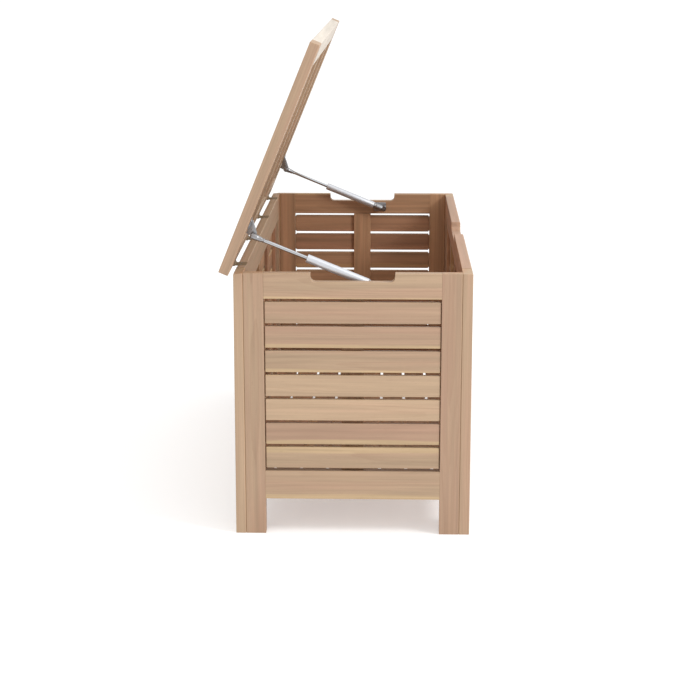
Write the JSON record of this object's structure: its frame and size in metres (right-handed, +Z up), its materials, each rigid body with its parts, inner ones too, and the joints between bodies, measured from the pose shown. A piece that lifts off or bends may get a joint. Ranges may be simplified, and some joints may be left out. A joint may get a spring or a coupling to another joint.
{
  "type": "deck storage box",
  "caption": "Slatted wooden storage chest with a hinged lid that gas struts hold open, hand cut-outs in the ends and front, and a slatted floor.",
  "frame": {"origin": "on the ground, under the middle of the whole object's bounding box with the lid open", "axes": "+X along the box from its left end to its right end, +Y towards the back where the lid hinges, +Z up"},
  "size_m": [1.24, 0.5246, 1.0414],
  "materials": {
    "frame_wood": "oiled light brown hardwood, satin",
    "slat_wood": "oiled light brown hardwood, satin",
    "floor_wood": "oiled light brown hardwood, satin",
    "lid_wood": "oiled light brown hardwood, satin",
    "hinge_steel": "satin stainless steel",
    "strut_tube": "satin silver",
    "strut_rod": "polished",
    "strut_gland": "matt black",
    "strut_fitting": "zinc-plated steel"
  },
  "bodies": {
    "box": {"front_left_leg": "frame_wood", "front_right_leg": "frame_wood", "back_left_leg": "frame_wood", "back_right_leg": "frame_wood", "left_end_front_leg": "frame_wood", "left_end_back_leg": "frame_wood", "right_end_front_leg": "frame_wood", "right_end_back_leg": "frame_wood", "front_top_rail": "frame_wood", "front_bottom_rail": "frame_wood", "back_top_rail": "frame_wood", "back_bottom_rail": "frame_wood", "left_end_top_rail": "frame_wood", "left_end_bottom_rail": "frame_wood", "right_end_top_rail": "frame_wood", "right_end_bottom_rail": "frame_wood", "front_slats": "slat_wood", "back_slats": "slat_wood", "right_end_slats": "slat_wood", "left_end_slat_1": "slat_wood", "left_end_slat_2": "slat_wood", "left_end_slat_3": "slat_wood", "left_end_slat_4": "slat_wood", "left_end_slat_5": "slat_wood", "left_end_slat_6": "slat_wood", "left_end_slat_7": "slat_wood", "left_end_batten": "slat_wood", "floor_slats": "floor_wood", "hinge_box_leaf_1": "hinge_steel", "hinge_box_leaf_2": "hinge_steel", "hinge_box_leaf_3": "hinge_steel", "hinge_box_leaf_4": "hinge_steel", "hinge_pin_1": "hinge_steel", "hinge_pin_2": "hinge_steel", "hinge_pin_3": "hinge_steel", "hinge_pin_4": "hinge_steel", "left_box_bracket": "strut_fitting", "right_box_bracket": "strut_fitting"},
    "lid": {"lid_left_stile": "lid_wood", "lid_right_stile": "lid_wood", "lid_front_rail": "lid_wood", "lid_back_rail": "lid_wood", "lid_slats": "lid_wood", "hinge_lid_leaf_1": "hinge_steel", "hinge_lid_leaf_2": "hinge_steel", "hinge_lid_leaf_3": "hinge_steel", "hinge_lid_leaf_4": "hinge_steel", "left_lid_bracket": "strut_fitting", "right_lid_bracket": "strut_fitting"},
    "left_cylinder": {"left_strut_tube": "strut_tube", "left_strut_gland": "strut_gland"},
    "left_rod": {"left_strut_rod": "strut_rod", "left_strut_rod_end": "strut_fitting"},
    "right_cylinder": {"right_strut_tube": "strut_tube", "right_strut_gland": "strut_gland"},
    "right_rod": {"right_strut_rod": "strut_rod", "right_strut_rod_end": "strut_fitting"}
  },
  "joints": [
    {"name": "lid_hinge", "type": "hinge", "parent": "box", "child": "lid", "pos_m": [0, 0.24169, 0.5685], "axis": [1, 0, 0], "range_deg": [0, 67.65]},
    {"name": "left_strut_swing", "type": "hinge", "parent": "box", "child": "left_cylinder", "pos_m": [-0.543, -0.06081, 0.5335], "axis": [1, 0, 0], "range_deg": [-17.38, 0]},
    {"name": "left_rod_slide", "type": "slide", "parent": "left_cylinder", "child": "left_rod", "axis": [0, 0.9261, 0.3773], "range_m": [-0.05574, 0]},
    {"name": "right_strut_swing", "type": "hinge", "parent": "box", "child": "right_cylinder", "pos_m": [0.543, -0.06081, 0.5335], "axis": [1, 0, 0], "range_deg": [-17.38, 0]},
    {"name": "right_rod_slide", "type": "slide", "parent": "right_cylinder", "child": "right_rod", "axis": [0, 0.9261, 0.3773], "range_m": [-0.05574, 0]}
  ],
  "couplings": [
    {"joint": "left_strut_swing", "follows": "lid_hinge", "ratio": -0.25538},
    {"joint": "left_rod_slide", "follows": "lid_hinge", "m_per_rad": -0.04695},
    {"joint": "right_strut_swing", "follows": "lid_hinge", "ratio": -0.25538},
    {"joint": "right_rod_slide", "follows": "lid_hinge", "m_per_rad": -0.04695}
  ]
}
